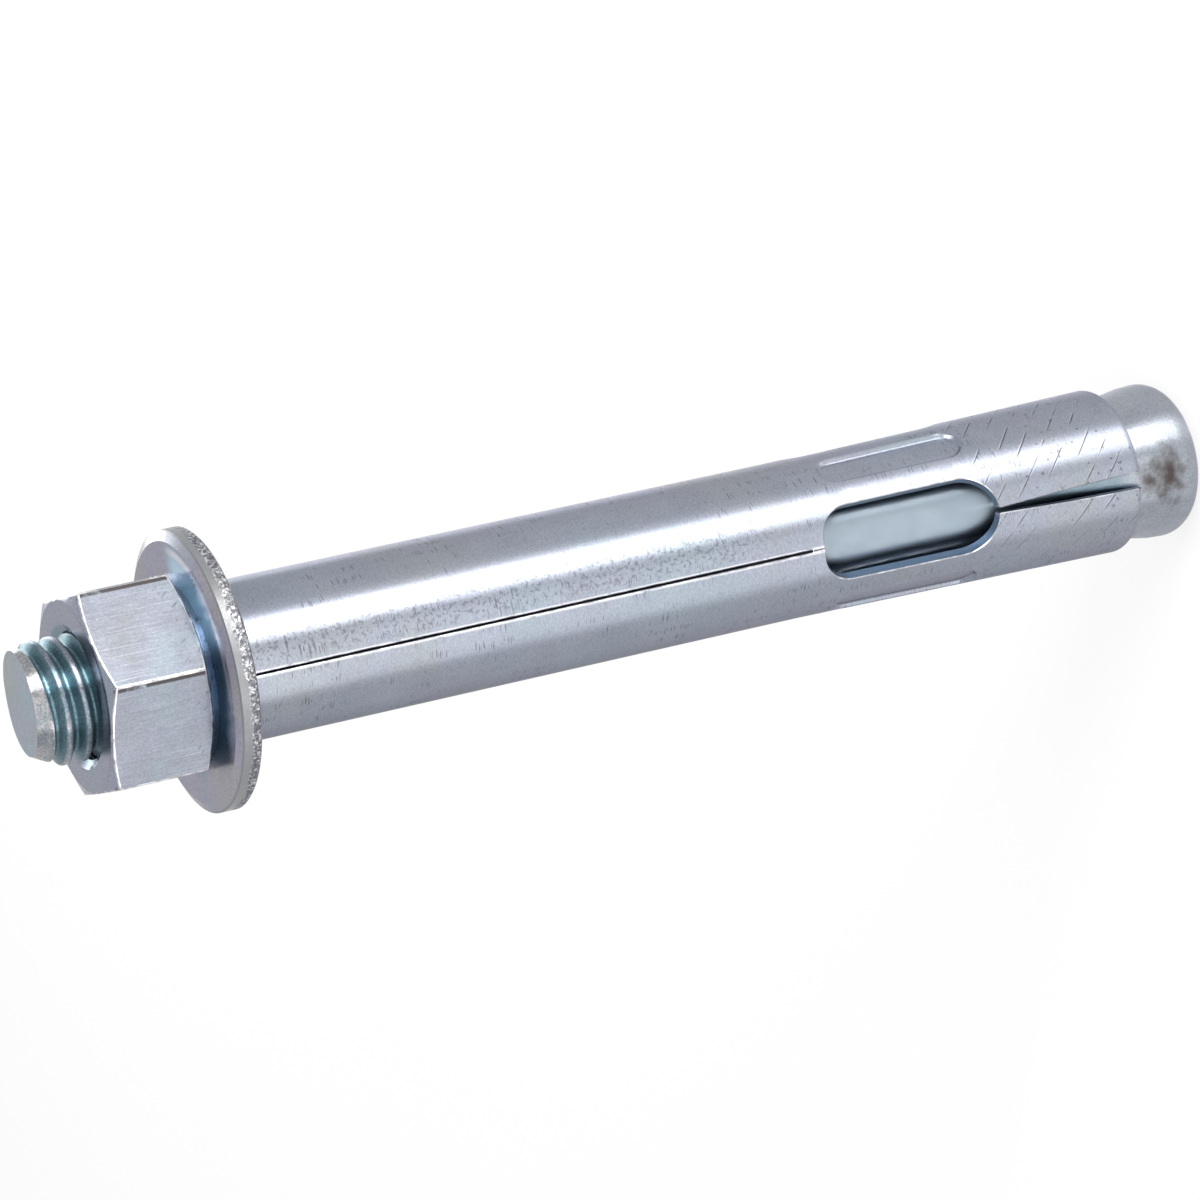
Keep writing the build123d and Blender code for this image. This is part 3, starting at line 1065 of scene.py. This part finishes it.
def end_finish(scene):
    """The stud's sawn and formed ends: matt, grey-green and mottled."""
    metal = Metal(scene, "stud_end_zinc", "end", Grain=0.0003, Patch=0.002)
    metal.tint(share=0.6, patch=0.004)
    metal.shade(share=0.4, dark=0.8, light=1.2)
    return metal.finish(roughness=0.4, patchy=0.1, depth=0.000015)


def thread_finish(scene):
    """The nut's thread: blue-green and a little dirty."""
    metal = Metal(scene, "nut_thread_zinc", "thread", Grain=0.0002, Patch=0.002)
    metal.paint("dirt", metal.grain["Patches"], share=0.4)
    metal.shade(share=0.5, dark=0.75, light=1.2)
    return metal.finish(roughness=0.3, patchy=0.15, depth=0.00001)


def washer_finish(scene):
    """Stamped washer: soft rainbow on its face, painted shade and reflection of the nut beside the nut with a
    painted highlight streak, and a torn, speckled rim.
    """
    metal = Metal(scene, "washer_zinc", "washer", Grain=0.00025, Patch=0.003)
    metal.tint(share=0.6, patch=0.006)
    metal.shade(share=0.4, dark=0.75, light=1.2)
    _, height, radius = metal.round_place()
    x, y, _ = metal.parts(metal.place())
    # Where the nut's shade and reflection are painted: the part of the washer's face beside the nut on the
    # camera's side
    shaded = metal.times(
        metal.rise(x, none=-0.0090, full=-0.0070), metal.fade(y, full=-0.0025, none=0.0010),
        metal.rise(height, none=WASHER_TOP - 0.0004, full=WASHER_TOP - 0.0002),
    )
    # Painted shade and reflection of the nut: dark blue near the nut, pale blue higher in the picture
    blue = metal.mix(metal.rise(x, none=0.002, full=0.007), metal.color("nut_shade"), metal.color("pale_reflection"))
    nut_shade = metal.times(metal.fade(radius, full=0.0105, none=0.0132), shaded)
    metal.paint(blue, nut_shade, share=0.85)
    # A painted highlight: a bright streak round the washer's face at one radius, inside the painted shade
    off_streak = metal.math("ABSOLUTE", metal.minus(radius, HIGHLIGHT_STREAK_RADIUS))
    highlight_streak = metal.times(
        metal.fade(off_streak, full=0.0001, none=0.0006), metal.rise(x, none=-0.0010, full=0.0020), shaded,
    )
    metal.paint("bright", highlight_streak, share=0.85)
    torn = metal.group("Torn Rim")
    metal.paint("rim", torn["Rim"], share=0.8)
    metal.paint("mark", torn["Zone"], share=0.4)
    metal.paint("mark", torn["Pits"], share=0.9)
    metal.paint("bright", torn["Peaks"], share=0.5)
    roughness = metal.line(torn["Zone"], slope=0.15, start=0.26)
    rough_rim = metal.times(metal.minus(torn["Peaks"], torn["Pits"]), 1.6)
    height = metal.line(metal.grain["Height"], slope=0.3, start=rough_rim)
    return metal.finish(roughness, patchy=0.08, depth=0.00002, height=height)


def nut_finish(scene):
    """Drawn hexagon: fine lines along its flats, small nicks, rubbed corners, and painted shade under its
    ridges and in its mouths.
    """
    metal = Metal(scene, "nut_zinc", "nut", Grain=0.00025, Patch=0.003)
    metal.tint(share=0.4, patch=0.006)
    lines = metal.group("Draw Lines", Share=0.45)
    metal.shade(share=0.25, dark=0.8, light=1.2, mask=lines["Shade"])
    scraped = metal.patches(scale=120.0, none=0.42, full=0.60)
    scratches = metal.group("Draw Lines", Width=0.00012, Length=0.012, Share=0.48)["Mask"]
    metal.paint("bright", metal.times(scratches, scraped), share=0.4)
    dark = metal.group("Draw Lines", Width=0.00017, Length=0.008, Share=0.5)["Mask"]
    metal.paint("mark", metal.times(dark, scraped), share=0.25)
    metal.shade(share=0.4, dark=0.8, light=1.2)
    arc, height, radius = metal.round_place()
    # Painted shade: the thread's dark blue-green laid over the nut's mouths and bore
    metal.paint("thread", metal.fade(radius, full=0.0068, none=0.0072), share=0.6)
    # Painted shade: a broken dark line under each of the nut's ridges
    metal.paint("dirt", ridge_shade(metal, arc, radius), share=0.85)
    nicks = metal.group(
        "Round Ticks", Length=0.0016, Width=0.0004, Slant=0.9, Share=0.3, Radius=0.0105, Seed=3.0,
    )["Mask"]
    low_part = metal.fade(height, full=NUT_BOTTOM + 0.0015, none=NUT_BOTTOM + 0.004)
    metal.paint("mark", metal.times(nicks, low_part), share=0.6)
    height = metal.minus(metal.times(metal.grain["Height"], 0.5), lines["Mask"])
    return metal.finish(roughness=0.2, patchy=0.06, depth=0.0000025, height=height)


def ridge_shade(metal, arc, radius):
    """A mask of painted shade: a broken dark line under each of the nut's six ridges."""
    half_side = math.pi / 6
    turned = metal.math("WRAP", metal.minus(arc, NUT_CORNER_ARC), half_side, -half_side)
    off_line = metal.math("ABSOLUTE", metal.line(turned, radius, SHADE_BELOW_RIDGE))
    return metal.times(
        metal.fade(off_line, full=0.00012, none=0.00025), metal.rise(radius, none=0.0103, full=0.0106),
        metal.patches(scale=700.0, detail=3.0, none=0.25, full=0.42),
    )


OPERATORS = (
    ANCHOR_OT_stage,
    ANCHOR_OT_sleeve,
    ANCHOR_OT_stud,
    ANCHOR_OT_washer,
    ANCHOR_OT_nut,
)


class ANCHOR_PT_panel(bpy.types.Panel):
    """Lists the anchor's operators"""

    bl_label = "Sleeve Anchor"
    bl_space_type = "VIEW_3D"
    bl_region_type = "UI"
    bl_category = "Sleeve Anchor"

    def draw(self, context):
        for operator in OPERATORS:
            self.layout.operator(operator.bl_idname)


SETTINGS = {
    "anchor_view": AnchorView,
    "anchor_stage": AnchorStage,
    "anchor_thread": AnchorThread,
    "anchor_plating": AnchorPlating,
}


def register():
    for name, group in SETTINGS.items():
        bpy.utils.register_class(group)
        setattr(bpy.types.Scene, name, PointerProperty(type=group))
    for operator in OPERATORS:
        bpy.utils.register_class(operator)
    bpy.utils.register_class(ANCHOR_PT_panel)


def unregister():
    bpy.utils.unregister_class(ANCHOR_PT_panel)
    for operator in reversed(OPERATORS):
        bpy.utils.unregister_class(operator)
    for name, group in SETTINGS.items():
        delattr(bpy.types.Scene, name)
        bpy.utils.unregister_class(group)


def main():
    register()
    for make_group in GROUPS:
        make_group()
    for operator in OPERATORS:
        group, call = operator.bl_idname.split(".")
        getattr(getattr(bpy.ops, group), call)()


if __name__ == "__main__":
    main()
